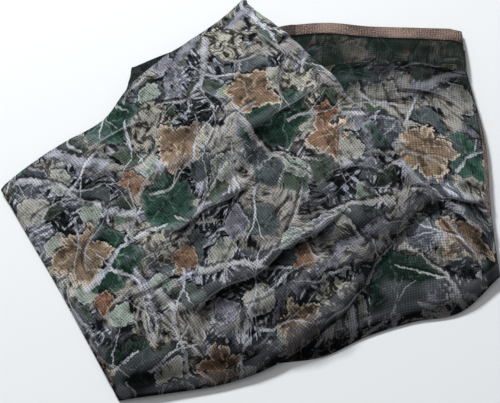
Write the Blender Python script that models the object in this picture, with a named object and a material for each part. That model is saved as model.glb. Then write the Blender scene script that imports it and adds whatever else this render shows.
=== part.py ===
"""Camouflage netting, folded back and forth into a loose flat pack that lies on a surface.

One strip of cloth runs through six layers. Each layer is a patch with four edges, seen in plan.
A layer is joined to the next by a round bend, at its right and its left edge by turns.
The layers rest on each other: each one's height is the sum of the layers and the air below it.
Metres, +Z up, +X to the right of the pack and +Y to its back. Z = 0 is the surface it lies on.
The tables give places in plan from a point near the middle, and the pack is centred at the end.
"""

import math
from collections import namedtuple

import bpy
import numpy as np

SHEET = 0.0012  # thickness of the netting
GAP = 0.0014  # least air between two layers
PITCH = SHEET + GAP
HEM_WIDTH = 0.009  # turned hem along every free edge
HEM_EXTRA = 0.0008  # by which the hem is thicker than the sheet
STRIP_LENGTH = 0.40  # of a layer from the back of the pack to its front, about
HEM = HEM_WIDTH / STRIP_LENGTH  # share of a layer's length that its hem takes
BACK_ROWS = (0.0, 1.0, 1.3, 2.3, 3.8)  # the first mesh rows from the back, in hem widths
FRONT_ROWS = (3.6, 2.4, 1.7, 1.2, 0.6, 0.0)  # the last ones from the front, in hem widths
MIDDLE_ROWS = 15  # even rows between them
BEND_COLUMN = 0.025  # share of a layer's width from its bend to its next column
BEND_STEPS = 3  # steps of the mesh round one bend
MOST_BEND = 0.75 * PITCH  # how far a bend reaches past the edges that it joins, at most
CROWN = 0.0010  # air that springs up in the middle of each gap
CROWN_RIM = 0.045  # width of the margin in which that air closes to nothing
MARGIN = 0.003  # a layer carries those above it this far outside its own edge
EDGE_POINTS = 49  # points that stand for one edge of a patch
FAR = 1.0  # an edge runs on straight for this far at both ends, when sides of it are told apart

# How far past the edges of a layer the layers above it reach before they lie flat again.
Falls = namedtuple("Falls", "back right front left")

# An edge runs from one corner to the next, clockwise in plan. Its bows, outwards from the straight
# line between its corners, lie at even steps along it. Slip is the share of its right edge by which
# a patch starts lower down than the layer that it is joined to there.
Patch = namedtuple(
    "Patch", "back_left back_right front_right front_left back right front left slip falls"
)

UPPER = Patch(
    back_left=(-0.301, 0.017),
    back_right=(-0.011, 0.291),
    front_right=(0.223, -0.004),
    front_left=(-0.145, -0.240),
    back=(0.001, -0.004, -0.013, 0.003, 0.003, -0.003, -0.005),
    right=(0.008, 0.010, 0.003),
    front=(0.008, 0.023, 0.052, 0.060, 0.060, 0.048, 0.025),
    left=(-0.001, -0.002, -0.001),
    slip=0.0,
    falls=Falls(back=0.030, right=0.014, front=0.018, left=0.014),
)
MIDDLE = Patch(
    back_left=(-0.290, 0.0185),
    back_right=(0.273, 0.178),
    front_right=(0.289, -0.097),
    front_left=(-0.140, -0.226),
    back=(0.008, 0.022, 0.038, 0.048, 0.054, 0.052, 0.036),
    right=(0.006, 0.004, -0.002),
    front=(0.025, 0.020, 0.021, 0.029, 0.021, 0.017, 0.009),
    left=(-0.002, -0.003, -0.002),
    slip=0.26,
    falls=Falls(back=0.050, right=0.014, front=0.018, left=0.014),
)
LOWER = Patch(
    back_left=(-0.153, 0.178),
    back_right=(0.259, 0.246),
    front_right=(0.288, -0.094),
    front_left=(-0.128, -0.205),
    back=(0.020, 0.032, 0.038, 0.039, 0.035, 0.020, 0.010),
    right=(0.009, 0.014, 0.005),
    front=(0.016, 0.010, 0.010, 0.014, 0.010, 0.007, 0.004),
    left=(0.002, 0.003, 0.006),
    slip=0.0,
    falls=Falls(back=0.050, right=0.014, front=0.018, left=0.050),
)

# The layers from the lowest to the top one. A layer covers the part of its patch from left to right
# and from back to front that its shares give, and its mesh has that many steps across.
Layer = namedtuple("Layer", "name patch left right back front steps")
LAYERS = (
    Layer("lowest", LOWER, left=0.07, right=0.99, back=0.06, front=0.965, steps=5),
    Layer("second", LOWER, left=0.00, right=0.99, back=0.03, front=0.985, steps=6),
    Layer("back flap", LOWER, left=0.00, right=1.00, back=0.00, front=1.00, steps=10),
    Layer("right flap", MIDDLE, left=0.00, right=1.00, back=0.00, front=1.00, steps=24),
    Layer("under top", UPPER, left=0.03, right=1.00, back=0.02, front=0.965, steps=24),
    Layer("top", UPPER, left=0.00, right=1.00, back=0.00, front=1.00, steps=24),
)

# Ridges of air between one layer and the next one up, which lift all that lies above them.
# A negative height is a valley in the other ridges.
Ridge = namedtuple("Ridge", "above start end width height")
RIDGE_TAPER = 1 / 3  # share of a ridge's length in which it rises, centred on its end
RIDGES = (
    Ridge("under top", (-0.125, 0.022), (0.090, 0.150), width=0.020, height=0.0065),
    Ridge("under top", (-0.030, 0.062), (0.030, 0.190), width=0.024, height=0.0030),
    Ridge("under top", (-0.150, -0.085), (-0.005, 0.012), width=0.018, height=0.0055),
    Ridge("under top", (-0.095, -0.150), (0.118, -0.012), width=0.014, height=0.0065),
    Ridge("under top", (-0.045, -0.168), (0.120, -0.068), width=0.012, height=0.0065),
    Ridge("under top", (0.050, -0.175), (0.140, -0.100), width=0.013, height=0.0070),
    Ridge("under top", (0.110, -0.030), (0.205, 0.002), width=0.018, height=0.0050),
    Ridge("under top", (0.045, -0.050), (0.060, 0.030), width=0.016, height=0.0030),
    Ridge("under top", (-0.245, -0.020), (-0.165, 0.075), width=0.026, height=0.0035),
    Ridge("right flap", (-0.130, -0.205), (0.050, -0.180), width=0.020, height=0.0045),
    Ridge("right flap", (0.000, 0.020), (0.170, 0.080), width=0.040, height=0.0030),
    Ridge("back flap", (0.150, -0.115), (0.262, -0.105), width=0.016, height=0.0055),
    Ridge("back flap", (0.205, -0.030), (0.272, -0.085), width=0.011, height=0.0050),
    Ridge("back flap", (0.215, 0.012), (0.276, -0.008), width=0.012, height=0.0045),
    Ridge("back flap", (0.150, 0.110), (0.262, 0.060), width=0.024, height=0.0035),
    Ridge("back flap", (0.090, 0.165), (0.250, 0.160), width=0.014, height=0.0030),
    Ridge("second", (0.050, 0.225), (0.240, 0.215), width=0.016, height=0.0030),
)


def edge_points(start, end, bows, count):
    """Points from start to end on a smooth curve through the bows, which lie to the left of it."""
    start, end = np.array(start), np.array(end)
    along = end - start
    outwards = np.array([-along[1], along[0]]) / np.hypot(*along)
    knots = np.array([0.0, *bows, 0.0])
    spans = len(knots) - 1
    padded = np.concatenate([[2 * knots[0] - knots[1]], knots, [2 * knots[-1] - knots[-2]]])
    share = np.linspace(0.0, 1.0, count)
    span = np.minimum((share * spans).astype(int), spans - 1)
    f = share * spans - span
    a, b, c, d = (padded[span + step] for step in range(4))
    bow = b + 0.5 * f * (c - a + f * (2 * a - 5 * b + 4 * c - d + f * (3 * (b - c) + d - a)))
    return start + share[:, None] * along + bow[:, None] * outwards


def patch_edges(patch):
    """The four edges of a patch, each as points in clockwise order."""
    corners = (patch.back_left, patch.back_right, patch.front_right, patch.front_left)
    names = ("back", "right", "front", "left")
    return {
        name: edge_points(corners[i], corners[(i + 1) % 4], getattr(patch, name), EDGE_POINTS)
        for i, name in enumerate(names)
    }


def on_edge(points, share):
    """The point at each share of an edge's length in steps."""
    steps = np.linspace(0.0, 1.0, len(points))
    return np.stack([np.interp(share, steps, points[:, axis]) for axis in range(2)], axis=-1)


def patch_points(edges, across, down):
    """Plan points of a patch at shares across from left to right and down from back to front."""
    back = on_edge(edges["back"], across)
    front = on_edge(edges["front"][::-1], across)
    left = on_edge(edges["left"][::-1], down)
    right = on_edge(edges["right"], down)
    a, d = across[..., None], down[..., None]
    corners = (
        (1 - a) * (1 - d) * edges["back"][0]
        + a * (1 - d) * edges["back"][-1]
        + a * d * edges["front"][0]
        + (1 - a) * d * edges["front"][-1]
    )
    return (1 - d) * back + d * front + (1 - a) * left + a * right - corners


def layer_points(layer, across, down):
    """Plan points of a layer, which is the part of its patch that its shares give."""
    a = layer.left + across * (layer.right - layer.left)
    d = layer.back + down * (layer.front - layer.back)
    d = d - a * layer.patch.slip * ((1 - d) - (1 - d) ** 4)
    return patch_points(patch_edges(layer.patch), a, d)


def layer_edges(layer):
    """The four edges of a layer as points in clockwise order."""
    run = np.linspace(0.0, 1.0, EDGE_POINTS)
    none, full = np.zeros(EDGE_POINTS), np.ones(EDGE_POINTS)
    return {
        "back": layer_points(layer, run, none),
        "right": layer_points(layer, full, run),
        "front": layer_points(layer, run[::-1], full),
        "left": layer_points(layer, none, run[::-1]),
    }


def inside_distance(points, edge):
    """Distance of each plan point from an edge, above zero on the layer's side of it."""
    first = edge[0] - (edge[1] - edge[0]) / np.hypot(*(edge[1] - edge[0])) * FAR
    last = edge[-1] + (edge[-1] - edge[-2]) / np.hypot(*(edge[-1] - edge[-2])) * FAR
    line = np.vstack([first, edge, last])
    start, step = line[:-1], np.diff(line, axis=0)
    offset = points[:, None, :] - start[None]
    share = np.clip((offset * step).sum(-1) / (step * step).sum(-1), 0.0, 1.0)
    away = offset - share[..., None] * step
    distance = np.hypot(away[..., 0], away[..., 1])
    nearest = distance.argmin(axis=1)
    rows = np.arange(len(points))
    near_step, near_offset = step[nearest], offset[rows, nearest]
    turn = near_step[:, 0] * near_offset[:, 1] - near_step[:, 1] * near_offset[:, 0]
    return -np.sign(turn) * distance[rows, nearest]


def smooth(value):
    """A soft step from 0 to 1."""
    value = np.clip(value, 0.0, 1.0)
    return value * value * (3 - 2 * value)


def ridge_height(ridge, points):
    """The height that one ridge adds at each plan point."""
    start, end = np.array(ridge.start), np.array(ridge.end)
    along = end - start
    offset = points - start
    share = (offset @ along) / (along @ along)
    side = (offset[:, 0] * along[1] - offset[:, 1] * along[0]) / np.hypot(*along)
    taper = smooth(share / RIDGE_TAPER + 0.5) * smooth((1 - share) / RIDGE_TAPER + 0.5)
    return ridge.height * taper * np.exp(-((side / ridge.width) ** 2))


def carried(layer, points):
    """How much each layer above this one is raised by it at the plan points."""
    held = np.ones(len(points))
    crown = np.ones(len(points))
    for name, edge in layer_edges(layer).items():
        distance = inside_distance(points, edge) + MARGIN
        held *= smooth(1 + distance / getattr(layer.patch.falls, name))
        crown *= smooth(distance / CROWN_RIM)
    air = CROWN * crown
    for ridge in RIDGES:
        if ridge.above == layer.name:
            air = air + ridge_height(ridge, points)
    return held * (PITCH + np.maximum(air, 0.0))


def layer_height(level, points):
    """Height of the middle of a layer's sheet: what lies below it and half its own thickness."""
    height = np.full(len(points), SHEET / 2)
    for lower in LAYERS[:level]:
        height += carried(lower, points)
    return height


def down_shares():
    """Shares from back to front for the rows of the mesh, closer at the hems."""
    back = np.array(BACK_ROWS) * HEM
    front = 1 - np.array(FRONT_ROWS) * HEM
    middle = np.linspace(back[-1], front[0], MIDDLE_ROWS + 2)[1:-1]
    return np.concatenate([back, middle, front])


def across_shares(steps):
    """Shares from left to right for the columns of one layer, closer at its bends."""
    return np.array([0.0, *np.linspace(BEND_COLUMN, 1 - BEND_COLUMN, steps - 1), 1.0])


def layer_section(level, down):
    """Points of a layer's middle surface, from left to right, and its upward normals."""
    layer = LAYERS[level]
    grid_across, grid_down = np.meshgrid(across_shares(layer.steps), down, indexing="ij")
    plan = layer_points(layer, grid_across.ravel(), grid_down.ravel())
    points = np.column_stack([plan, layer_height(level, plan)]).reshape(*grid_down.shape, 3)
    normals = np.cross(np.gradient(points, axis=1), np.gradient(points, axis=0))
    return points, normals / np.linalg.norm(normals, axis=2)[..., None]


def along_edge(edge, y):
    """The points of an edge that runs from back to front, at each value of y."""
    return np.column_stack([np.interp(y, edge[::-1, 1], edge[::-1, axis]) for axis in (0, 2)])


def bend_section(lower, upper, side):
    """Points round the bend from a layer's edge to the edge above it, and its outward normals.

    Side is 1 at the right and -1 at the left. A row slides along the bend where its ends differ in y,
    and the round lies at the outer one of the two edges.
    """
    tangent = np.gradient(lower[:, :2] + upper[:, :2], axis=0)
    tangent /= np.hypot(tangent[:, 0], tangent[:, 1])[:, None]
    outwards = np.column_stack([-tangent[:, 1], tangent[:, 0], np.zeros(len(tangent))]) * side
    up = np.array([0.0, 0.0, 1.0])
    points, normals = [], []
    for turn in np.linspace(-math.pi / 2, math.pi / 2, BEND_STEPS + 1)[1:-1]:
        normal = outwards * math.cos(turn) + up * math.sin(turn)
        y = lower[:, 1] + (upper[:, 1] - lower[:, 1]) * (1 + math.sin(turn)) / 2
        (low_x, low_z), (high_x, high_z) = along_edge(lower, y).T, along_edge(upper, y).T
        x = np.maximum(low_x * side, high_x * side) * side
        radius = (high_z - low_z) / 2
        reach = np.column_stack([np.minimum(radius, MOST_BEND)] * 2 + [radius])
        points.append(np.column_stack([x, y, low_z + radius]) + normal * reach)
        normals.append(normal)
    return points, normals


def strip_sections(down):
    """Columns of points along the whole strip, and the normals of its one side at each."""
    columns, normals = [], []
    for level in range(len(LAYERS)):
        points, upward = layer_section(level, down)
        facing = 1.0
        if level % 2 == 1:
            points, upward, facing = points[::-1], upward[::-1], -1.0
        if columns:
            round_points, outward = bend_section(columns[-1], points[0], -facing)
            columns.extend(round_points)
            normals.extend(normal * facing for normal in outward)
        columns.extend(points)
        normals.extend(upward * facing)
    return np.array(columns), np.array(normals)


def sheet_solid(middle, normal, down):
    """Vertices and faces of the closed solid round the middle surface."""
    half = np.where(down <= HEM, (SHEET + HEM_EXTRA) / 2, SHEET / 2)[None, :, None]
    raised = middle + np.array([0.0, 0.0, 1.0]) * (half - SHEET / 2)
    one_side = (raised + normal * half).reshape(-1, 3)
    other_side = (raised - normal * half).reshape(-1, 3)
    columns, rows = middle.shape[:2]

    def at(column, row, side):
        return side * columns * rows + column * rows + row

    def rim(first, second):
        return [at(*first, 0), at(*second, 0), at(*second, 1), at(*first, 1)]

    faces = []
    for column in range(columns - 1):
        for row in range(rows - 1):
            ring = ((column, row), (column, row + 1), (column + 1, row + 1), (column + 1, row))
            faces.append([at(c, r, 0) for c, r in ring])
            faces.append([at(c, r, 1) for c, r in reversed(ring)])
    last_column, last_row = columns - 1, rows - 1
    for column in range(columns - 1):
        faces.append(rim((column, 0), (column + 1, 0)))
        faces.append(rim((column + 1, last_row), (column, last_row)))
    for row in range(rows - 1):
        faces.append(rim((0, row + 1), (0, row)))
        faces.append(rim((last_column, row), (last_column, row + 1)))
    return np.concatenate([one_side, other_side]), faces


def centred(vertices):
    """The vertices with the middle of their plan box at the origin."""
    plan = vertices[:, :2]
    middle = (plan.min(axis=0) + plan.max(axis=0)) / 2
    return vertices - np.array([*middle, 0.0])


def netting_material():
    material = bpy.data.materials.new("netting")
    material.use_nodes = True
    shader = material.node_tree.nodes["Principled BSDF"]
    shader.inputs["Base Color"].default_value = (0.085, 0.085, 0.075, 1.0)
    shader.inputs["Roughness"].default_value = 0.85
    shader.inputs["Metallic"].default_value = 0.0
    return material


def build_netting():
    down = down_shares()
    middle, normal = strip_sections(down)
    vertices, faces = sheet_solid(middle, normal, down)
    mesh = bpy.data.meshes.new("netting")
    mesh.from_pydata(centred(vertices).tolist(), [], faces)
    mesh.update()
    mesh.materials.append(netting_material())
    netting = bpy.data.objects.new("netting", mesh)
    bpy.context.collection.objects.link(netting)
    mesh.shade_smooth()
    mesh.set_sharp_from_angle(angle=math.radians(40))
    return netting


for leftover in list(bpy.data.objects):
    bpy.data.objects.remove(leftover, do_unlink=True)

build_netting()
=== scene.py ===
# %% [markdown]
# # Camouflage netting, folded into a loose pack
#
# Hunters and photographers drape this cloth over a hide: a fine, soft polyester mesh with leaves, twigs
# and bark printed on it. Here one cut length of it lies folded back and forth on a pale table.
#
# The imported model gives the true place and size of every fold. This lesson lays a finer cloth on those
# same folds, adds the small tucks that a hand leaves, and then prints the cloth with shader nodes.

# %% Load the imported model
import math
from collections import namedtuple

import bpy
import numpy as np
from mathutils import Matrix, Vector, noise


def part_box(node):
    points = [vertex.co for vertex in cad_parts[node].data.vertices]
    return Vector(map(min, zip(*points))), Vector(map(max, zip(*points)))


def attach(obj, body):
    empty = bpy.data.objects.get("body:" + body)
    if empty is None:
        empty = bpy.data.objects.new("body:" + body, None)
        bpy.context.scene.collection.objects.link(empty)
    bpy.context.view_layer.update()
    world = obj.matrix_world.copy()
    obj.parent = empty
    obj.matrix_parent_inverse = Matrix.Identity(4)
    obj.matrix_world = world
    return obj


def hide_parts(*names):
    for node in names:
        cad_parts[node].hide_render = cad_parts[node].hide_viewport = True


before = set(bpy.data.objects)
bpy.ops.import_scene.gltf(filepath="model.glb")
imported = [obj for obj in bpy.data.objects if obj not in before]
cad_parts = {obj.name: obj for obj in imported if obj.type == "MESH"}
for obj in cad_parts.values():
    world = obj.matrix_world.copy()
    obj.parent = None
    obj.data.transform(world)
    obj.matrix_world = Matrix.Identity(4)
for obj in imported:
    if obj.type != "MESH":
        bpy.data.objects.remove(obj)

cad_low, cad_high = (np.array(corner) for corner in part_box("netting"))
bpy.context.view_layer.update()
print("folded pack, mm:", ((cad_high - cad_low) * 1000).round(1))

# %% [markdown]
# ## The places in plan
#
# Tables are easier to write from a point near the middle of the cloth than from the middle of its box.
# So every table below counts from that point, and the finished cloth is moved by one step at the end.
# The step is worked out there: it brings the middle of the cloth's own box to the middle of the pack's.

# %% From one layer to the next
SHEET = 0.0012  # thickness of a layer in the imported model
GAP = 0.0014  # least air between two layers
PITCH = SHEET + GAP
print("from one layer to the next, mm:", round(PITCH * 1000, 2))

# %% [markdown]
# ## The layers
#
# Netting like this is folded by walking its end back and forth, so the pack is one strip in six layers
# that turn at the right and at the left by turns. Each layer is a patch with four bowed edges. A cloth
# simulation could fold it too, but it would land somewhere else each time the sizes change, and the
# outline has to stay where the imported model has it. So the patches are given one by one, in metres.
# They are the imported model's own, but for a centimetre or two at the back left, where a dark corner of
# the lower layers looks out from under the top one.

# %% The patches
# An edge runs from one corner to the next, clockwise in plan. Its bows stand outwards from the straight
# line between the corners, at even steps along it. Slip is the share of its right edge by which a patch
# starts lower down than the layer that it is joined to there. Falls are how far past each edge of a
# layer those above it reach before they lie flat again.
Falls = namedtuple("Falls", "back right front left")
Patch = namedtuple(
    "Patch", "back_left back_right front_right front_left back right front left slip falls"
)
UPPER = Patch(
    back_left=(-0.301, 0.017),
    back_right=(-0.011, 0.291),
    front_right=(0.223, -0.004),
    front_left=(-0.145, -0.240),
    back=(0.001, -0.004, -0.015, -0.003, 0.001, -0.003, -0.005),
    right=(0.008, 0.010, 0.003),
    front=(0.008, 0.023, 0.052, 0.060, 0.060, 0.048, 0.025),
    left=(-0.001, -0.002, -0.001),
    slip=0.0,
    falls=Falls(back=0.030, right=0.014, front=0.018, left=0.014),
)
MIDDLE = Patch(
    back_left=(-0.290, 0.0185),
    back_right=(0.273, 0.178),
    front_right=(0.289, -0.097),
    front_left=(-0.140, -0.226),
    back=(0.008, 0.022, 0.038, 0.048, 0.054, 0.052, 0.036),
    right=(0.006, 0.004, -0.002),
    front=(0.025, 0.020, 0.021, 0.029, 0.021, 0.017, 0.009),
    left=(-0.002, -0.003, -0.002),
    slip=0.26,
    falls=Falls(back=0.050, right=0.014, front=0.018, left=0.014),
)
LOWER = Patch(
    back_left=(-0.147, 0.189),
    back_right=(0.259, 0.246),
    front_right=(0.288, -0.094),
    front_left=(-0.128, -0.205),
    back=(0.016, 0.025, 0.031, 0.034, 0.031, 0.018, 0.009),
    right=(0.009, 0.014, 0.005),
    front=(0.016, 0.010, 0.010, 0.014, 0.010, 0.007, 0.004),
    left=(0.004, 0.012, 0.024),
    slip=0.0,
    falls=Falls(back=0.050, right=0.014, front=0.018, left=0.050),
)

# %% The layers, from the table up
# A layer covers the part of its patch that its shares give. Steps are the columns of its mesh: the
# layers that show have most of them.
Layer = namedtuple("Layer", "name patch left right back front steps")
LAYERS = (
    Layer("lowest", LOWER, left=0.07, right=0.99, back=0.06, front=0.965, steps=22),
    Layer("second", LOWER, left=0.00, right=0.99, back=0.03, front=0.985, steps=24),
    Layer("back flap", LOWER, left=0.00, right=1.00, back=0.00, front=1.00, steps=46),
    Layer("right flap", MIDDLE, left=0.00, right=1.00, back=0.00, front=1.00, steps=92),
    Layer("under top", UPPER, left=0.03, right=1.00, back=0.02, front=0.965, steps=24),
    Layer("top", UPPER, left=0.00, right=1.00, back=0.00, front=1.00, steps=170),
)
print("layers from the table up:", ", ".join(layer.name for layer in LAYERS))

# %% [markdown]
# ## The broad folds
#
# Air caught between two layers lifts everything above it. A row of this table is one such ridge of air.
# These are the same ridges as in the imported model, so the cloth lies where the solid lies.

# %% Ridges of air
# Each row: the layer that the air lies on, the ridge's two ends, its half width and its height.
Ridge = namedtuple("Ridge", "above start end width height")
RIDGE_TAPER = 1 / 3  # share of a ridge's length in which it rises, centred on its end
RIDGES = (
    Ridge("under top", (-0.125, 0.022), (0.090, 0.150), width=0.020, height=0.0065),
    Ridge("under top", (-0.030, 0.062), (0.030, 0.190), width=0.024, height=0.0030),
    Ridge("under top", (-0.150, -0.085), (-0.005, 0.012), width=0.018, height=0.0055),
    Ridge("under top", (-0.095, -0.150), (0.118, -0.012), width=0.014, height=0.0065),
    Ridge("under top", (-0.045, -0.168), (0.120, -0.068), width=0.012, height=0.0065),
    Ridge("under top", (0.050, -0.175), (0.140, -0.100), width=0.013, height=0.0070),
    Ridge("under top", (0.110, -0.030), (0.205, 0.002), width=0.018, height=0.0050),
    Ridge("under top", (0.045, -0.050), (0.060, 0.030), width=0.016, height=0.0030),
    Ridge("under top", (-0.245, -0.020), (-0.165, 0.075), width=0.026, height=0.0035),
    Ridge("right flap", (-0.130, -0.205), (0.050, -0.180), width=0.020, height=0.0045),
    Ridge("right flap", (0.000, 0.020), (0.170, 0.080), width=0.040, height=0.0030),
    Ridge("back flap", (0.150, -0.115), (0.262, -0.105), width=0.016, height=0.0055),
    Ridge("back flap", (0.205, -0.030), (0.272, -0.085), width=0.011, height=0.0050),
    Ridge("back flap", (0.215, 0.012), (0.276, -0.008), width=0.012, height=0.0045),
    Ridge("back flap", (0.150, 0.110), (0.262, 0.060), width=0.024, height=0.0035),
    Ridge("back flap", (0.090, 0.165), (0.250, 0.160), width=0.014, height=0.0030),
    Ridge("second", (0.050, 0.225), (0.240, 0.215), width=0.016, height=0.0030),
)
print("ridges of air:", len(RIDGES))

# %% [markdown]
# ## The tucks
#
# Soft mesh doesn't only swell in broad ridges. Where a hand pushed it together it stands up in a narrow
# tuck: one side rises gently to the crest, and the other drops steeply into a dark line. A height alone
# gives a soft hump, so each tuck also pushes its crest sideways, towards the steep side. The push stays
# smaller than that side is wide, since an overhang would need a mesh several times finer than this one.

# %% Tucks
# Each row: the layer below the tuck, the line at the foot of its steep side, its height, the width of its
# gentle side, the push, and the width of its steep side, where that isn't the usual one. The gentle side
# is to the right as the line is followed.
STEEP = 0.0085  # usual width of a steep side
Tuck = namedtuple("Tuck", "above line height gentle lean steep", defaults=[STEEP])
TUCKS = (
    Tuck("under top", ((0.104, 0.160), (0.060, 0.124), (0.020, 0.098)),
         height=0.0020, gentle=0.018, lean=0.0030),
    Tuck("under top",
         ((0.010, 0.020), (-0.022, -0.008), (-0.052, -0.022), (-0.076, -0.044), (-0.104, -0.056)),
         height=0.0046, gentle=0.018, lean=0.0044, steep=0.0090),
    Tuck("under top",
         ((0.120, -0.012), (0.084, -0.049), (0.046, -0.068), (0.012, -0.101), (-0.030, -0.120),
          (-0.068, -0.153)),
         height=0.0038, gentle=0.014, lean=0.0038),
    Tuck("under top", ((0.086, -0.082), (0.050, -0.098), (0.020, -0.126), (-0.016, -0.138)),
         height=0.0030, gentle=0.012, lean=0.0034),
    Tuck("under top", ((-0.074, -0.092), (-0.112, -0.118), (-0.150, -0.130)),
         height=0.0030, gentle=0.014, lean=0.0034),
    Tuck("under top", ((0.036, -0.058), (0.052, -0.018), (0.062, 0.022)),
         height=0.0034, gentle=0.014, lean=0.0036),
    Tuck("under top", ((-0.190, -0.096), (-0.196, -0.062), (-0.170, -0.020)),
         height=0.0030, gentle=0.016, lean=0.0030),
    Tuck("under top", ((0.132, -0.112), (0.112, -0.140), (0.080, -0.160)),
         height=0.0034, gentle=0.012, lean=0.0034),
    Tuck("under top", ((-0.028, 0.100), (-0.040, 0.128), (-0.075, 0.150)),
         height=0.0026, gentle=0.016, lean=0.0030),
    Tuck("under top", ((-0.120, 0.104), (-0.160, 0.088), (-0.206, 0.056)),
         height=0.0024, gentle=0.016, lean=0.0028),
    Tuck("under top", ((0.168, 0.026), (0.128, 0.036), (0.086, 0.024)),
         height=0.0028, gentle=0.014, lean=0.0032),
    Tuck("under top", ((0.072, 0.176), (0.034, 0.206), (0.000, 0.240)),
         height=0.0024, gentle=0.012, lean=0.0028),
    Tuck("back flap", ((0.288, -0.010), (0.252, -0.006), (0.224, 0.002)),
         height=0.0060, gentle=0.018, lean=0.0056, steep=0.0095),
    Tuck("back flap", ((0.286, -0.052), (0.262, -0.034), (0.232, -0.008)),
         height=0.0036, gentle=0.010, lean=0.0034, steep=0.0080),
    Tuck("back flap", ((0.272, -0.090), (0.248, -0.058), (0.222, -0.018)),
         height=0.0036, gentle=0.010, lean=0.0034, steep=0.0080),
    Tuck("back flap", ((0.270, 0.120), (0.230, 0.142), (0.170, 0.150)),
         height=0.0026, gentle=0.016, lean=0.0030),
    Tuck("second", ((0.0570, 0.290), (0.0565, 0.240), (0.0555, 0.190)),
         height=0.0030, gentle=0.012, lean=0.0034),
)
TUCK_TAPER = 0.022  # length at each end in which a tuck dies out
FOOT_REACH = 0.030  # distance from a foot line past which it no longer counts
print("tucks:", len(TUCKS))

# %% [markdown]
# ## Lines on the cloth
#
# Edges, ridges and tucks all ask the same question of a point: how far is it from a line, on which side,
# and how far along? One helper answers it, so each later step is a short formula.

# %% Smooth steps and smooth lines
def smooth(value):
    """A soft step from 0 to 1."""
    value = np.clip(value, 0.0, 1.0)
    return value * value * (3 - 2 * value)


def through(knots, count):
    """Values at even steps along a smooth curve through the knots."""
    knots = np.asarray(knots, float)
    spans = len(knots) - 1
    padded = np.concatenate([[2 * knots[0] - knots[1]], knots, [2 * knots[-1] - knots[-2]]])
    share = np.linspace(0.0, 1.0, count)
    span = np.minimum((share * spans).astype(int), spans - 1)
    f = (share * spans - span).reshape(-1, *[1] * (knots.ndim - 1))
    a, b, c, d = (padded[span + step] for step in range(4))
    return b + 0.5 * f * (c - a + f * (2 * a - 5 * b + 4 * c - d + f * (3 * (b - c) + d - a)))


# %% Distances from a line
FAR = 1.0  # a line runs on straight for this far at both ends, when its sides are told apart


def beside(points, line):
    """For each plan point: its distance to the right of the line, how far along, and the line's way."""
    first = line[0] - (line[1] - line[0]) / np.hypot(*(line[1] - line[0])) * FAR
    last = line[-1] + (line[-1] - line[-2]) / np.hypot(*(line[-1] - line[-2])) * FAR
    line = np.vstack([first, line, last])
    start, step = line[:-1], np.diff(line, axis=0)
    length = np.hypot(*step.T)
    offset = points[:, None, :] - start[None]
    share = np.clip((offset * step).sum(-1) / length**2, 0.0, 1.0)
    away = offset - share[..., None] * step
    distance = np.hypot(away[..., 0], away[..., 1])
    nearest = distance.argmin(axis=1)
    rows = np.arange(len(points))
    near_step, near_offset = step[nearest], offset[rows, nearest]
    turn = near_step[:, 0] * near_offset[:, 1] - near_step[:, 1] * near_offset[:, 0]
    starts = np.concatenate([[0.0], np.cumsum(length)])[:-1]
    along = starts[nearest] + share[rows, nearest] * length[nearest] - FAR
    return -np.sign(turn) * distance[rows, nearest], along, near_step / length[nearest][:, None]


# %% [markdown]
# ## From a patch to a layer
#
# A patch with four curved edges is filled with a Coons surface: the blend of its two pairs of edges,
# less the blend of its corners. It is the plainest surface that meets all four edges exactly.

# %% The edges of a patch
EDGE_POINTS = 49  # that stand for one edge


def edge_points(start, end, bows):
    """Points from start to end on a curve that bows out to the left of the straight line."""
    start, end = np.array(start), np.array(end)
    along = end - start
    outwards = np.array([-along[1], along[0]]) / np.hypot(*along)
    bow = through([0.0, *bows, 0.0], EDGE_POINTS)
    return start + np.linspace(0.0, 1.0, EDGE_POINTS)[:, None] * along + bow[:, None] * outwards


def patch_edges(patch):
    """The four edges of a patch, each as points in clockwise order."""
    corners = (patch.back_left, patch.back_right, patch.front_right, patch.front_left)
    names = ("back", "right", "front", "left")
    return {
        name: edge_points(corners[i], corners[(i + 1) % 4], getattr(patch, name))
        for i, name in enumerate(names)
    }


def on_edge(points, share):
    """The point at each share of an edge."""
    steps = np.linspace(0.0, 1.0, len(points))
    return np.stack([np.interp(share, steps, points[:, axis]) for axis in range(2)], axis=-1)


# %% The points of a layer
SLIP_FADE = 4  # how fast a slip is made up for from the back edge on


def layer_points(layer, across, down):
    """Plan points of a layer at shares across from left to right and down from back to front."""
    a = layer.left + across * (layer.right - layer.left)
    d = layer.back + down * (layer.front - layer.back)
    d = d - a * layer.patch.slip * ((1 - d) - (1 - d) ** SLIP_FADE)
    edges = patch_edges(layer.patch)
    back, front = on_edge(edges["back"], a), on_edge(edges["front"][::-1], a)
    left, right = on_edge(edges["left"][::-1], d), on_edge(edges["right"], d)
    a, d = a[..., None], d[..., None]
    corners = (
        (1 - a) * (1 - d) * edges["back"][0]
        + a * (1 - d) * edges["back"][-1]
        + a * d * edges["front"][0]
        + (1 - a) * d * edges["front"][-1]
    )
    return (1 - d) * back + d * front + (1 - a) * left + a * right - corners


def layer_edges(layer):
    """The four edges of a layer as points in clockwise order."""
    run = np.linspace(0.0, 1.0, EDGE_POINTS)
    none, full = np.zeros(EDGE_POINTS), np.ones(EDGE_POINTS)
    return {
        "back": layer_points(layer, run, none),
        "right": layer_points(layer, full, run),
        "front": layer_points(layer, run[::-1], full),
        "left": layer_points(layer, none, run[::-1]),
    }


# %% [markdown]
# ## How high each layer lies
#
# A layer rests on all those below it. Its height is half its own thickness plus what every lower layer
# carries: one pitch, a crown of air, the ridges, the tucks and a little unevenness. All of it fades out
# just past the lower layer's edges, so the layers above drape down to the table there.

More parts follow.
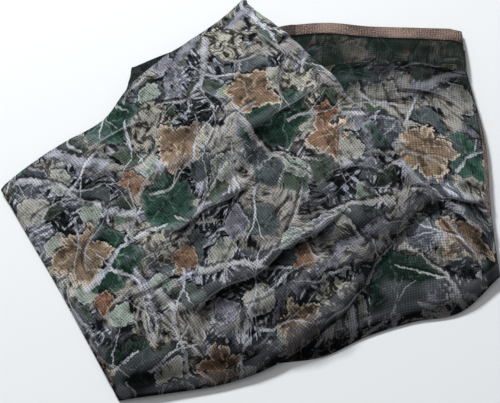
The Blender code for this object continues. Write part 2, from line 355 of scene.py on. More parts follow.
# %% The height of a ridge
def ridge_height(ridge, points):
    """The height that one ridge adds at each plan point."""
    start, end = np.array(ridge.start), np.array(ridge.end)
    side, along, _ = beside(points, np.array([start, end]))
    share = along / np.hypot(*(end - start))
    taper = smooth(share / RIDGE_TAPER + 0.5) * smooth((1 - share) / RIDGE_TAPER + 0.5)
    return ridge.height * taper * np.exp(-((side / ridge.width) ** 2))


# %% The shape of a tuck
TUCK_POINTS = 17  # along one tuck's line
LEAST_TAPER = 0.01  # taper below which a tuck's line has died out


def tuck_shape(tuck, points):
    """A tuck's height at each plan point, its push sideways, and the distance from its foot line.

    The distance grows faster where the tuck dies out, so a line that is drawn by it gets thinner there.
    """
    line = through(tuck.line, TUCK_POINTS)
    side, along, way = beside(points, line)
    length = np.hypot(*np.diff(line, axis=0).T).sum()
    taper = smooth(along / TUCK_TAPER) * smooth((length - along) / TUCK_TAPER)
    rise = smooth(side / tuck.steep)
    fall = 1 - smooth((side - tuck.steep) / tuck.gentle)
    shape = taper * rise * fall
    to_the_left = np.column_stack([-way[:, 1], way[:, 0]])
    foot = np.clip(side / np.maximum(taper, LEAST_TAPER), -FOOT_REACH, FOOT_REACH)
    return tuck.height * shape, tuck.lean * shape[:, None] * to_the_left, foot


# %% The unevenness of loose cloth
UNEVEN = {"under top": 0.0030, "right flap": 0.0010, "back flap": 0.0026, "second": 0.0008}
UNEVEN_SIZE = 0.034  # from one soft bump of the cloth to the next, across the folds
STRETCHED = 1.9  # how much longer a bump is along the folds
FOLD_WAY = (0.87, 0.5)  # the way that most folds run, in plan
RIPPLE = 0.60  # share of the unevenness in narrow crests
RIPPLE_STEPS = 1.3  # crests for each soft bump
RIPPLE_SHARP = 2.2  # how steeply a crest falls off
OTHER_SEED = 7.0  # from the seed of the bumps to that of the crests


def unevenness(points, seed):
    """Bumps and crests between 0 and 1, stretched along the way that the folds run."""
    east, north = FOLD_WAY
    along = east * points[:, 0] + north * points[:, 1]
    across = east * points[:, 1] - north * points[:, 0]
    values = []
    for u, v in zip(along / (STRETCHED * UNEVEN_SIZE), across / UNEVEN_SIZE):
        broad = noise.noise(Vector((u, v, seed)))
        crest = noise.noise(Vector((RIPPLE_STEPS * u, RIPPLE_STEPS * v, seed + OTHER_SEED)))
        values.append(0.5 + 0.5 * (broad + RIPPLE * (0.5 - RIPPLE_SHARP * abs(crest))))
    return np.clip(values, 0.0, 1.0)


# %% What a layer carries
CROWN = 0.0010  # air that springs up in the middle of each gap
CROWN_RIM = 0.045  # width of the margin in which that air closes to nothing
MARGIN = 0.003  # a layer carries those above it this far outside its own edge


def carried(layer, points):
    """How much each layer above this one is raised by it at the plan points."""
    held = np.ones(len(points))
    crown = np.ones(len(points))
    for name, edge in layer_edges(layer).items():
        distance = beside(points, edge)[0] + MARGIN
        held *= smooth(1 + distance / getattr(layer.patch.falls, name))
        crown *= smooth(distance / CROWN_RIM)
    air = CROWN * crown
    for ridge in RIDGES:
        if ridge.above == layer.name:
            air = air + ridge_height(ridge, points)
    for tuck in TUCKS:
        if tuck.above == layer.name:
            air = air + tuck_shape(tuck, points)[0]
    if layer.name in UNEVEN:
        air = air + UNEVEN[layer.name] * unevenness(points, len(layer.name))
    return held * (PITCH + air)


def layer_height(level, points):
    """Height of the middle of a layer: what lies below it and half its own thickness."""
    height = np.full(len(points), SHEET / 2)
    for lower in LAYERS[:level]:
        height += carried(lower, points)
    return height


# %% [markdown]
# ## The strip
#
# Each layer becomes a grid of points, and each bend a few columns of points round half a turn. Joined up
# they are one long grid from the strip's lower end to its upper end. The tucks push their crests sideways
# here, after the heights are known.

# %% Rows of the mesh
HEM_WIDTH = 0.0175  # turned hem along the long edges
STRIP_LENGTH = 0.40  # of the longest layer from the back of the pack to its front, about
HEM = HEM_WIDTH / STRIP_LENGTH
FINE_ROWS = 112  # rows between the hems
HEM_ROWS = 4  # rows across a hem
STEP_SHARE = 0.10  # of the hem's width, in which its thickness drops to the cloth's


def down_shares():
    """Shares from back to front for the rows, closer at the hems."""
    hem = [*np.linspace(0.0, HEM, HEM_ROWS), HEM * (1 + STEP_SHARE)]
    middle = np.linspace(hem[-1], 1 - hem[-1], FINE_ROWS + 2)[1:-1]
    return np.array([*hem, *middle, *(1 - np.array(hem[::-1]))])


# %% The grid of one layer
def layer_section(level, down):
    """Points of a layer's middle surface from left to right, its upward normals and its foot lines."""
    layer = LAYERS[level]
    across = np.linspace(0.0, 1.0, layer.steps + 1)
    grid_across, grid_down = np.meshgrid(across, down, indexing="ij")
    plan = layer_points(layer, grid_across.ravel(), grid_down.ravel())
    height = layer_height(level, plan)
    pushed = plan.copy()
    foot = np.full(len(plan), FOOT_REACH)
    for tuck in TUCKS:
        if level and tuck.above == LAYERS[level - 1].name:
            _, push, distance = tuck_shape(tuck, plan)
            pushed += push
            foot = np.where(abs(distance) < abs(foot), distance, foot)
    points = np.column_stack([pushed, height]).reshape(*grid_down.shape, 3)
    normals = np.cross(np.gradient(points, axis=1), np.gradient(points, axis=0))
    return points, normals / np.linalg.norm(normals, axis=2)[..., None], foot.reshape(grid_down.shape)


# %% The grid of one bend
BEND_STEPS = 6  # steps of the mesh round it
MOST_BEND = 0.75 * PITCH  # how far it reaches past the edges that it joins, at most


def along_edge(edge, y):
    """The points of an edge that runs from back to front, at each value of y."""
    return np.column_stack([np.interp(y, edge[::-1, 1], edge[::-1, axis]) for axis in (0, 2)])


def bend_section(lower, upper, side):
    """Points round the bend from a layer's edge to the edge above it, and its outward normals."""
    tangent = np.gradient(lower[:, :2] + upper[:, :2], axis=0)
    tangent /= np.hypot(tangent[:, 0], tangent[:, 1])[:, None]
    outwards = np.column_stack([-tangent[:, 1], tangent[:, 0], np.zeros(len(tangent))]) * side
    up = np.array([0.0, 0.0, 1.0])
    points, normals = [], []
    for turn in np.linspace(-math.pi / 2, math.pi / 2, BEND_STEPS + 1)[1:-1]:
        normal = outwards * math.cos(turn) + up * math.sin(turn)
        y = lower[:, 1] + (upper[:, 1] - lower[:, 1]) * (1 + math.sin(turn)) / 2
        (low_x, low_z), (high_x, high_z) = along_edge(lower, y).T, along_edge(upper, y).T
        x = np.maximum(low_x * side, high_x * side) * side
        radius = (high_z - low_z) / 2
        reach = np.column_stack([np.minimum(radius, MOST_BEND)] * 2 + [radius])
        points.append(np.column_stack([x, y, low_z + radius]) + normal * reach)
        normals.append(normal)
    return points, normals


# %% The whole strip
def whole_strip(down):
    """Columns of points along the strip, normals out of its reverse side, distances from the foot lines,
    and the first and last column of each layer with its halves of the bends.
    """
    columns, normals, feet, blocks = [], [], [], []
    for level in range(len(LAYERS)):
        points, upward, foot = layer_section(level, down)
        facing = 1.0
        if level % 2 == 1:
            points, upward, foot, facing = points[::-1], upward[::-1], foot[::-1], -1.0
        if columns:
            round_points, outward = bend_section(columns[-1], points[0], -facing)
            columns.extend(round_points)
            normals.extend(normal * facing for normal in outward)
            feet.extend([np.full(len(down), FOOT_REACH)] * len(outward))
            middle_of_bend = len(columns) - BEND_STEPS // 2
            blocks[-1][1] = middle_of_bend
            blocks.append([middle_of_bend, None])
        else:
            blocks.append([0, None])
        columns.extend(points)
        normals.extend(upward * facing)
        feet.extend(foot)
    blocks[-1][1] = len(columns) - 1
    return np.array(columns), np.array(normals), np.array(feet), blocks


down = down_shares()
middle, normal, feet, blocks = whole_strip(down)
off_centre = (middle[..., :2].min((0, 1)) + middle[..., :2].max((0, 1))) / 2
print("grid:", middle.shape[:2], "off centre by, mm:", (off_centre * 1000).round(1))
for name, axis in (("long", 0), ("wide", 1)):
    mean = np.linalg.norm(np.diff(middle, axis=axis), axis=2).sum(axis).mean()
    print("the strip is", mean.round(3), "m", name, "on average")

# %% [markdown]
# ## The cloth as a mesh
#
# The grid gets two sides, a rim, and the thickness between them. Every corner also gets its place on
# the flat cloth, as a UV: how far along the strip and how far from its long edge, in metres. The print
# and the mesh then follow the folds without stretching, and turn with each layer as real cloth does.
# The corners carry a few marks too, such as how deep in a hollow they lie, for the shader to read.

# %% Flat places on the cloth
PRINT_STEP = 0.62  # from one layer's part of the print to the next one's


def flat_places(block):
    """The place on the flat cloth of every grid point of one layer, in metres."""
    first, last = block
    part = middle[first:last + 1]
    along = np.zeros(part.shape[:2])
    along[1:] = np.cumsum(np.linalg.norm(np.diff(part, axis=0), axis=2), axis=0)
    across = np.zeros(part.shape[:2])
    across[:, 1:] = np.cumsum(np.linalg.norm(np.diff(part, axis=1), axis=2), axis=1)
    return np.stack([along, across], axis=-1)


# %% Hollows and crests
HOLLOW_REACH = 3.0  # grid steps over which a hollow is told from the slope that it lies on
FULL_HOLLOW = 0.0016  # depth at which it counts in full, in metres


def hollows():
    """How far each grid point lies below the cloth round it: 1 deep in a hollow, -1 on a sharp crest."""
    reach = int(3 * HOLLOW_REACH)
    steps = np.arange(-reach, reach + 1)
    weights = np.exp(-((steps / HOLLOW_REACH) ** 2) / 2)
    weights /= weights.sum()
    around = middle[..., 2]
    for axis in range(2):
        edges = [(0, 0), (0, 0)]
        edges[axis] = (reach, reach)
        padded = np.pad(around, edges, mode="reflect", reflect_type="odd")
        around = np.apply_along_axis(np.convolve, axis, padded, weights, "valid")
    return np.clip((around - middle[..., 2]) / FULL_HOLLOW, -1.0, 1.0)


# %% Distances from the front edge
def front_distances():
    """How far each grid point is from the front edge, along the cloth, in metres."""
    steps = np.linalg.norm(np.diff(middle, axis=1), axis=2)
    gone = np.zeros(middle.shape[:2])
    gone[:, :-1] = np.cumsum(steps[:, ::-1], axis=1)[:, ::-1]
    return gone


# %% Marks for the shader
LINE_NEAR = 0.009  # distance from a foot line within which lines may be drawn along it
LINE_FADE = 0.004  # distance past that in which they fade out


def marks():
    """What the shader reads at each corner: the values on the reverse side and on the printed side."""
    hollow = hollows()
    to_front = front_distances()
    near_tuck = 1 - smooth((abs(feet) - LINE_NEAR) / LINE_FADE)
    return {
        "reverse": (np.ones(hollow.shape), np.zeros(hollow.shape)),
        "hollow": (-hollow, hollow),
        "foot": (feet, feet),
        "near_tuck": (near_tuck, near_tuck),
        "to_front": (to_front, to_front),
    }


# %% Corners and faces of the closed cloth
PLY = 0.0008  # thickness of the cloth made here
HEM_EXTRA = 0.0009  # by which the hem is thicker


def cloth_corners():
    """The corners on the reverse side and then those on the printed side, with the hem a bit thicker."""
    hem_share = np.minimum(down, 1 - down) / HEM
    extra = HEM_EXTRA * (hem_share <= 1.0)
    half = ((PLY + extra) / 2)[None, :, None]
    raised = middle + np.array([0.0, 0.0, 1.0]) * extra[None, :, None] / 2
    corners = np.concatenate([(raised + normal * half), (raised - normal * half)]).reshape(-1, 3)
    return corners - np.array([*off_centre, 0.0])


def cloth_faces():
    """The faces of both sides and of the rim, each as its layer's level and its (column, row, side)s."""
    columns, rows = middle.shape[:2]
    faces = []
    for level, (first, last) in enumerate(blocks):
        for c in range(first, last):
            for r in range(rows - 1):
                ring = ((c, r), (c, r + 1), (c + 1, r + 1), (c + 1, r))
                faces.append((level, [(*corner, 0) for corner in ring]))
                faces.append((level, [(*corner, 1) for corner in reversed(ring)]))
            for r, (a, b) in ((0, (c, c + 1)), (rows - 1, (c + 1, c))):
                faces.append((level, [(a, r, 0), (b, r, 0), (b, r, 1), (a, r, 1)]))
    for c, level, order in ((0, 0, 1), (columns - 1, len(LAYERS) - 1, -1)):
        for r in range(rows - 1):
            a, b = (r + 1, r)[::order]
            faces.append((level, [(c, a, 0), (c, b, 0), (c, b, 1), (c, a, 1)]))
    return faces


# %% The closed cloth
SHARP_EDGE = math.radians(60)  # only the rim's edges are sharper than this


def cloth_mesh():
    """The netting as one closed mesh, with its flat places and its marks."""
    columns, rows = middle.shape[:2]
    flat = [flat_places(block) for block in blocks]
    rings, places = [], []
    for level, corners in cloth_faces():
        rings.append([(side * columns + column) * rows + row for column, row, side in corners])
        shift = np.array([level * PRINT_STEP, 0.0])
        start = blocks[level][0]
        places.extend(flat[level][column - start, row] + shift for column, row, _ in corners)
    mesh = bpy.data.meshes.new("netting_cloth")
    mesh.from_pydata(cloth_corners().tolist(), [], rings)
    uv = mesh.uv_layers.new(name="flat_cloth")
    uv.data.foreach_set("uv", np.array(places, np.float32).ravel())
    for name, sides in marks().items():
        mark = mesh.attributes.new(name, "FLOAT", "POINT")
        mark.data.foreach_set("value", np.concatenate(sides).astype(np.float32).ravel())
    mesh.update()
    mesh.shade_smooth()
    mesh.set_sharp_from_angle(angle=SHARP_EDGE)
    return mesh


netting = bpy.data.objects.new("netting_cloth", cloth_mesh())
bpy.context.collection.objects.link(netting)
print("cloth:", len(netting.data.polygons) * 2, "triangles")

# %% [markdown]
# ## Formulas as nodes
#
# The print is drawn with shader nodes, so it stays sharp at any size. Wiring them one by one hides the
# idea, so a wire here behaves like a number: adding or multiplying wires adds the Math nodes for it.

# %% Wires
class Wire:
    """An output socket that can be used in a formula."""

    def __init__(self, socket):
        self.socket = socket

    def __add__(self, other):
        return calc("ADD", self, other)

    def __sub__(self, other):
        return calc("SUBTRACT", self, other)

    def __rsub__(self, other):
        return calc("SUBTRACT", other, self)

    def __mul__(self, other):
        return calc("MULTIPLY", self, other)

    def __truediv__(self, other):
        return calc("DIVIDE", self, other)

    def __rtruediv__(self, other):
        return calc("DIVIDE", other, self)

    def __abs__(self):
        return calc("ABSOLUTE", self)

    __radd__ = __add__
    __rmul__ = __mul__


# %% Nodes as formulas
def put(socket, value):
    """Fills a node's input with a wire or with a constant."""
    if isinstance(value, Wire):
        socket.id_data.links.new(value.socket, socket)
    else:
        socket.default_value = value


def add_node(tree, kind, inputs, **settings):
    """A new shader node with its settings, and its inputs filled by name or by number."""
    made = tree.nodes.new("ShaderNode" + kind)
    for name, value in settings.items():
        setattr(made, name, value)
    for name, value in inputs.items():
        put(made.inputs[name], value)
    return made


def calc(operation, *values):
    """One Math node."""
    tree = next(value for value in values if isinstance(value, Wire)).socket.id_data
    return Wire(add_node(tree, "Math", dict(enumerate(values)), operation=operation).outputs[0])


def ramp(value, low, high):
    """A soft step: 0 where the value is at low, and 1 where it is at high."""
    inputs = {"Value": value, "From Min": low, "From Max": high}
    made = add_node(value.socket.id_data, "MapRange", inputs, interpolation_type="SMOOTHSTEP")
    return Wire(made.outputs["Result"])


def mixed(first, second, share):
    """A colour between two colours: the first one at 0, the second one at 1."""
    made = add_node(share.socket.id_data, "Mix", {0: share, 6: first, 7: second}, data_type="RGBA")
    return Wire(made.outputs[2])


# %% Places on the cloth
def vector(x, y):
    """A place from its two coordinates."""
    tree = (x if isinstance(x, Wire) else y).socket.id_data
    return Wire(add_node(tree, "CombineXYZ", {"X": x, "Y": y}).outputs[0])


def parts(value):
    """The x, y and z of a vector."""
    return [Wire(out) for out in add_node(value.socket.id_data, "SeparateXYZ", {0: value}).outputs]


def moved(place, operation, other):
    """One Vector Math node."""
    made = add_node(place.socket.id_data, "VectorMath", {0: place, 1: other}, operation=operation)
    return Wire(made.outputs[0])


def scaled(place, factor):
    """The place times a number."""
    inputs = {0: place, "Scale": factor}
    made = add_node(place.socket.id_data, "VectorMath", inputs, operation="SCALE")
    return Wire(made.outputs[0])


def turned(place, angle):
    """The place turned about the cloth's upright."""
    inputs = {"Vector": place, "Angle": angle}
    made = add_node(place.socket.id_data, "VectorRotate", inputs, rotation_type="Z_AXIS")
    return Wire(made.outputs[0])


# %% Noise, and strewn points
def cloudy(place, size, detail=2.0, warp=0.0):
    """Noise between 0 and 1, with blotches of about the given size."""
    inputs = {"Vector": place, "Scale": 1 / size, "Detail": detail, "Distortion": warp}
    made = add_node(place.socket.id_data, "TexNoise", inputs, noise_dimensions="2D")
    return Wire(made.outputs["Fac"])


def scattered(place, spacing, looseness=0.5):
    """Points strewn over the cloth: the place seen from the nearest one, and three random numbers."""
    inputs = {"Vector": place, "Scale": 1 / spacing, "Randomness": looseness}
    made = add_node(place.socket.id_data, "TexVoronoi", inputs, voronoi_dimensions="2D")
    local = moved(place, "SUBTRACT", Wire(made.outputs["Position"]))
    split = add_node(place.socket.id_data, "SeparateColor", {0: Wire(made.outputs["Color"])})
    return local, [Wire(out) for out in split.outputs]


# %% [markdown]
# ## Motifs as node groups
#
# The same leaf is strewn many times in other sizes and inks, so it is wired once, as a node group whose
# sockets are the sizes of a leaf. A helper makes such a group from a function, and another one uses it.

# %% Groups
# Each motif gives: whether a place is inside it, its shading, its veins, its rim, and a random tone.
Motif = namedtuple("Motif", "inside shade vein rim tone")


def make_group(name, sizes, draw):
    """A node group that draws a motif from the place, the noises and the named sizes."""
    tree = bpy.data.node_groups.new(name, "ShaderNodeTree")
    vectors, numbers = ("place", "warp"), ("rough", *sizes._fields)
    for socket in (*vectors, *numbers):
        kind = "NodeSocketVector" if socket in vectors else "NodeSocketFloat"
        tree.interface.new_socket(socket, in_out="INPUT", socket_type=kind)
    for socket in Motif._fields:
        tree.interface.new_socket(socket, in_out="OUTPUT", socket_type="NodeSocketFloat")
    given = {out.name: Wire(out) for out in tree.nodes.new("NodeGroupInput").outputs if out.name}
    drawn = draw(given["place"], given["warp"], given["rough"], sizes(*(given[f] for f in sizes._fields)))
    result = tree.nodes.new("NodeGroupOutput")
    for socket, wire in drawn._asdict().items():
        put(result.inputs[socket], wire)
    return tree


def use_group(group, place, warp, rough, sizes):
    """The motif that a group draws with these sizes."""
    made = place.socket.id_data.nodes.new("ShaderNodeGroup")
    made.node_tree = group
    for socket, value in {"place": place, "warp": warp, "rough": rough, **sizes._asdict()}.items():
        put(made.inputs[socket], value)
    return Motif(*(Wire(made.outputs[socket]) for socket in Motif._fields))


# %% [markdown]
# ## A printed leaf
#
# A lobed leaf is easy to describe round its middle: the outline's distance from there rises and falls
# with the angle, once for each lobe. The same angle places the veins, one to the tip of each lobe.
# Broad noise bends each leaf and fine noise frays it, so that no two are alike.

# %% Leaves
# Spacing and size are in metres. Then come the number of lobes, how deep and how narrow the notches
# between them are, the height of the teeth, the length for each width, and the share of places kept.
Leaf = namedtuple("Leaf", "spacing size lobes depth point tooth narrow kept")
TURN = 2 * math.pi
SMALLEST, SIZE_SPREAD = 0.75, 0.40  # of leaves of one kind, in their size
TEETH = 3.5  # for each lobe
STEM_SIDE = 0.24  # by which the lobes shrink from the tip to the stem
RAGGED = 0.26  # how much the fine noise frays a leaf's outline
CURL = 0.55  # how far the broad noise bends a leaf, in leaf sizes
SIDE_VEINS = 6.5  # from the middle of a leaf to its tip
SIDE_VEIN_SLANT = 0.9
SIDE_VEIN_SHARE = 0.4  # of the strength of a main vein
# Where a line fades out on both sides of its middle, and where it is full:
MAIN_VEIN, SIDE_VEIN = (0.036, 0.008), (0.10, 0.02)
RIM = (0.15, 0.05)  # the same from the outline inwards, in leaf sizes


def draw_leaf(place, warp, rough, leaf):
    """Where the leaves of one kind are, with their shading, veins and light rims."""
    local, (turn, size, pick) = scattered(place, leaf.spacing)
    local = moved(local, "ADD", scaled(warp, leaf.size * CURL))
    radius_here = (size * SIZE_SPREAD + SMALLEST) * leaf.size
    x, y, _ = parts(turned(local, turn * TURN))
    x, y = x / radius_here, y * leaf.narrow / radius_here
    angle = calc("ARCTAN2", y, x)
    reach = calc("SQRT", x * x + y * y)
    lobe = angle * (leaf.lobes / TURN)
    off_axis = calc("FRACT", lobe + 0.5) - 0.5
    notch = calc("POWER", abs(off_axis) * 2.0, leaf.point)
    tooth = calc("PINGPONG", lobe * TEETH, 0.5) * leaf.tooth
    outline = (1 - notch * leaf.depth) * (calc("COSINE", angle) * STEM_SIDE + (1 - STEM_SIDE))
    outline = outline + tooth + (rough - 0.5) * RAGGED
    inside = ramp(outline - reach, -0.02, 0.03) * calc("LESS_THAN", pick, leaf.kept)
    beside_vein = abs(off_axis) * reach * (TURN / leaf.lobes)
    main_vein = ramp(beside_vein, *MAIN_VEIN)
    side_line = abs(calc("FRACT", (reach - beside_vein * SIDE_VEIN_SLANT) * SIDE_VEINS) - 0.5)
    side_vein = ramp(side_line, *SIDE_VEIN) * SIDE_VEIN_SHARE
    vein = calc("MAXIMUM", main_vein, side_vein) * ramp(reach, 1.05, 0.35) * ramp(rough, 0.3, 0.6)
    half = ramp(off_axis, -0.06, 0.06)
    shade = half * 0.25 + ramp(reach, 0.0, 1.1) * 0.2 + ramp(rough, 0.25, 0.75) * 0.55
    rim = ramp(outline - reach, *RIM) * ramp(rough, 0.35, 0.50)
    return Motif(inside, shade, vein, rim, ramp(size, 0.2, 0.8))


leaf_group = make_group("printed_leaf", Leaf, draw_leaf)

# %% [markdown]
# ## Twigs and bark
#
# A twig is a wavy line that gets thinner towards its end, with a side shoot. Bark and dry grass are
# noise that is stretched along one way, and that way changes from tuft to tuft.

# %% Twigs
# Spacing, length and thickness are in metres. Wave is how far it winds, in its lengths.
Twig = namedtuple("Twig", "spacing length thick wave kept")
TWIG_BEND = 0.18  # how far the broad noise bends a twig, in twig lengths
KNOBS = 1.6  # how far the fine noise makes it knobbly, in its thicknesses
WINDING = 4.0  # how fast it winds
SHOOT_SLOPE = 0.62  # at which the side shoot leaves the stem
SHOOT_SHARE = 0.7  # of the stem's thickness and length


def draw_twig(place, warp, rough, twig):
    """Where the twigs of one kind are, and how light they are across."""
    local, (turn, bend, pick) = scattered(place, twig.spacing, looseness=0.4)
    local = moved(local, "ADD", scaled(warp, twig.length * TWIG_BEND))
    x, y, _ = parts(turned(local, turn * TURN))
    x, y = x / twig.length, y / twig.length
    thick = twig.thick / twig.length
    y = y + (rough - 0.5) * KNOBS * thick
    stem = y - calc("SINE", x * WINDING + bend * TURN) * twig.wave
    shoot = y - calc("SINE", bend * TURN) * twig.wave - x * SHOOT_SLOPE
    width = (1.15 - x) * 0.5 * thick
    on_stem = ramp(width - abs(stem), -0.25 * thick, 0.25 * thick) * ramp(abs(x), 1.0, 0.96)
    on_shoot = ramp(width * SHOOT_SHARE - abs(shoot), -0.25 * thick, 0.25 * thick)
    on_shoot = on_shoot * ramp(x, 0.0, 0.03) * ramp(x, SHOOT_SHARE + 0.1, SHOOT_SHARE)
    inside = calc("MAXIMUM", on_stem, on_shoot) * calc("LESS_THAN", pick, twig.kept)
    lit = ramp(calc("MINIMUM", abs(stem), abs(shoot)), 0.5 * thick, 0.0) * 0.6 + rough * 0.5
    return Motif(inside, lit, rough, rough, bend)


twig_group = make_group("printed_twig", Twig, draw_twig)

# %% Bark and dry grass
Bark = namedtuple("Bark", "tuft length width")  # of a tuft, and of a streak in it, in metres
COARSE_BARK = Bark(0.036, 0.040, 0.0075)
FINE_BARK = Bark(0.024, 0.022, 0.0040)
TUFT_BEND = 0.8  # how far the broad noise bends the edge of a tuft, in tufts
STREAK_BEND = 2.0  # how far it bends a streak, in widths
TUFT_APART = 3.0  # metres between the noises of two tufts of opposite tone


def bark(place, warp, kind):
    """Straight streaks between 0 and 1, which run another way in each tuft, and a random tone for each."""
    bent = moved(place, "ADD", scaled(warp, kind.tuft * TUFT_BEND))
    _, (turn, _, tone) = scattered(bent, kind.tuft, looseness=1.0)
    x, y, _ = parts(turned(moved(place, "ADD", scaled(warp, kind.width * STREAK_BEND)), turn * TURN))
    drawn_out = vector(x * (kind.width / kind.length) + tone * TUFT_APART, y)
    return ramp(cloudy(drawn_out, kind.width, detail=3.0, warp=0.25), 0.32, 0.70), tone


# %% [markdown]
# ## The colours
#
# The cloth is printed in muted inks: near-black for the gaps, violet greys for bark and twigs, pale and
# dark greens, tans and rusts. The same near-black also serves as the painted shade on the folds and in
# the holes. They are given as they look on a screen, and turned into light.

# %% Inks
def ink(red, green, blue):
    """A screen colour, 0 to 255, as the light that it gives off."""
    return (*(((value / 255 + 0.055) / 1.055) ** 2.4 for value in (red, green, blue)), 1.0)


GAP_AND_SHADE_BLACK = ink(5, 6, 7)
SLATE = ink(44, 48, 52)
BARK_GREY = ink(112, 114, 122)
BARK_PALE = ink(226, 228, 240)
TWIG_PALE = ink(226, 228, 238)
OLIVE = ink(80, 78, 70)
STRAW = ink(176, 170, 163)
FERN_DARK = ink(18, 38, 32)
FERN = ink(62, 96, 84)
FERN_DEEP = ink(38, 64, 54)
FERN_VEIN = ink(164, 188, 176)
SAGE_DARK = ink(80, 90, 82)
SAGE = ink(170, 182, 168)
CREAM = ink(192, 187, 176)
MOSS_DARK = ink(34, 44, 38)
MOSS = ink(84, 96, 84)
SMOKE = ink(92, 98, 104)
RUST_DARK = ink(62, 46, 37)
RUST = ink(150, 118, 96)
TAN = ink(154, 132, 110)
RUST_RED = ink(146, 98, 78)
RUST_VEIN = ink(234, 216, 198)
LICHEN_DARK = ink(50, 46, 40)
LICHEN = ink(212, 207, 194)
VIOLET_DARK = ink(50, 50, 57)
VIOLET = ink(146, 144, 156)
REVERSE = ink(22, 35, 30)
REVERSE_RUST = ink(52, 42, 34)
HEM_TAN = ink(164, 142, 132)
HEM_DARK = ink(84, 68, 62)
print("dark gaps give", round(GAP_AND_SHADE_BLACK[1], 4), "and pale bark", round(BARK_PALE[1], 3), "of the light")

# %% [markdown]
# ## The print
#
# The print is laid down as a printer would lay it: bark and grass first, then twigs, then leaves from
# the faint ones to the strong ones, each with a dark shadow round it. The layout comes from strewn
# points, so no leaf is where another cloth has it.

# %% Kinds of leaves and twigs, in metres
MOSS_LEAF = Leaf(0.062, 0.031, 5, 0.20, 1.0, 0.06, 1.30, 0.85)
FADED_LEAF = Leaf(0.070, 0.028, 5, 0.16, 1.0, 0.08, 1.40, 0.80)
GREY_LEAF = Leaf(0.080, 0.031, 5, 0.24, 1.1, 0.06, 1.25, 0.65)
LICHEN_PATCH = Leaf(0.130, 0.042, 9, 0.12, 1.4, 0.12, 1.05, 0.52)
FERN_LEAF = Leaf(0.135, 0.054, 5, 0.24, 1.1, 0.08, 1.15, 0.62)
RUST_LEAF = Leaf(0.140, 0.047, 5, 0.40, 0.9, 0.16, 1.05, 0.62)
SMALL_RUST = Leaf(0.115, 0.026, 5, 0.36, 0.9, 0.14, 1.35, 0.40)
TWIG_THICK = Twig(0.110, 0.070, 0.0090, 0.05, 0.80)
TWIG_LONG = Twig(0.115, 0.075, 0.0048, 0.05, 0.92)
TWIG_FINE = Twig(0.064, 0.046, 0.0024, 0.08, 0.90)
SHADOW_SHIFT = 0.0030  # from a motif to its shadow, along each of the cloth's ways
LAYOUT_STEP = (2.63, 4.19, 0.0)  # from one kind's strewn points to the next one's

# %% The order of printing
# Each row: what is drawn, its dark ink, two light inks between which each motif has its own, the ink of
# its veins and rim, and the strength of the veins, the rim and the shadow.
Pass = namedtuple("Pass", "group sizes dark light other_light line_ink veins rim shadow")
PASSES = (
    Pass(leaf_group, MOSS_LEAF, MOSS_DARK, MOSS, SMOKE, SAGE, 0.30, 0.20, 0.60),
    Pass(twig_group, TWIG_THICK, VIOLET_DARK, TWIG_PALE, VIOLET, VIOLET_DARK, 0.15, 0.0, 0.75),
    Pass(leaf_group, FADED_LEAF, SAGE_DARK, SAGE, CREAM, TWIG_PALE, 0.30, 0.40, 0.70),
    Pass(leaf_group, GREY_LEAF, VIOLET_DARK, VIOLET, SMOKE, TWIG_PALE, 0.35, 0.40, 0.75),
    Pass(leaf_group, LICHEN_PATCH, LICHEN_DARK, LICHEN, CREAM, LICHEN_DARK, 0.0, 0.0, 0.80),
    Pass(leaf_group, FERN_LEAF, FERN_DARK, FERN, FERN_DEEP, FERN_VEIN, 0.35, 0.20, 0.80),
    Pass(twig_group, TWIG_LONG, BARK_GREY, TWIG_PALE, CREAM, BARK_GREY, 0.10, 0.0, 0.75),
    Pass(leaf_group, RUST_LEAF, RUST_DARK, RUST, TAN, RUST_VEIN, 0.45, 0.80, 0.85),
    Pass(leaf_group, SMALL_RUST, RUST_DARK, RUST_RED, RUST, RUST_VEIN, 0.25, 0.40, 0.80),
    Pass(twig_group, TWIG_FINE, BARK_GREY, TWIG_PALE, STRAW, BARK_GREY, 0.10, 0.0, 0.50),
)
print("kinds of leaves and twigs:", len(PASSES))

# %% [markdown]
# Cycles has a small store for the values of one material, and it works out every motif's first nodes
# before it mixes any of them. Twenty motifs would overflow that store and turn the cloth black. So each
# motif is made to wait for the colour of the one before it, by moving it by a ten-millionth of that.

# %% Waiting for a colour
AFTER = 1e-7  # metres by which full red moves what is drawn next


def after(place, colour):
    """The place, known only once the colour is known."""
    split = add_node(place.socket.id_data, "SeparateColor", {0: colour})
    return moved(place, "ADD", vector(Wire(split.outputs[0]) * AFTER, 0.0))


# %% Darker
def darker(colour, share):
    """The colour mixed with the near-black of the printed gaps, which also serves as the painted shade."""
    return mixed(colour, GAP_AND_SHADE_BLACK, share)


# %% The ground of the print
ROUGH_SIZE = 0.0050  # of the fine noise that frays every edge
MOTTLE_SIZE = 0.016  # of the blotches inside the motifs
BEND_SIZE = 0.030  # of the noise that bends the motifs
BROAD_SIZE = 0.110  # of the patches of bare earth
ASIDE = (3.7, 1.9, 0.0)  # metres between the noises that bend the motifs along and across
FINE_SHARE = 0.55  # of the fine bark, beside the coarse one


def ground(place, warp, mottle, broad):
    """Bark with pale streaks and black gaps, and patches of bare earth."""
    coarse, coarse_tone = bark(place, warp, COARSE_BARK)
    colour = mixed(SLATE, BARK_GREY, ramp(coarse_tone, 0.2, 0.8))
    fine, fine_tone = bark(after(place, colour), warp, FINE_BARK)
    streaks = coarse * (1 - FINE_SHARE) + fine * FINE_SHARE
    colour = mixed(colour, BARK_PALE, ramp(streaks + fine_tone * 0.3, 0.65, 1.05) * 0.85)
    colour = darker(colour, ramp(streaks * 0.5 + mottle, 0.68, 0.56) * 0.95)
    earth = mixed(OLIVE, STRAW, ramp(fine * 0.5 + mottle + fine_tone * 0.2, 0.50, 1.05))
    bare = ramp(broad, 0.47, 0.54) * ramp(mottle + fine_tone * 0.4, 0.46, 0.62)
    return mixed(colour, earth, bare * 0.9)


# %% Laying the print down
CURL_SIZE = 0.014  # of the pale curls in a patch of lichen


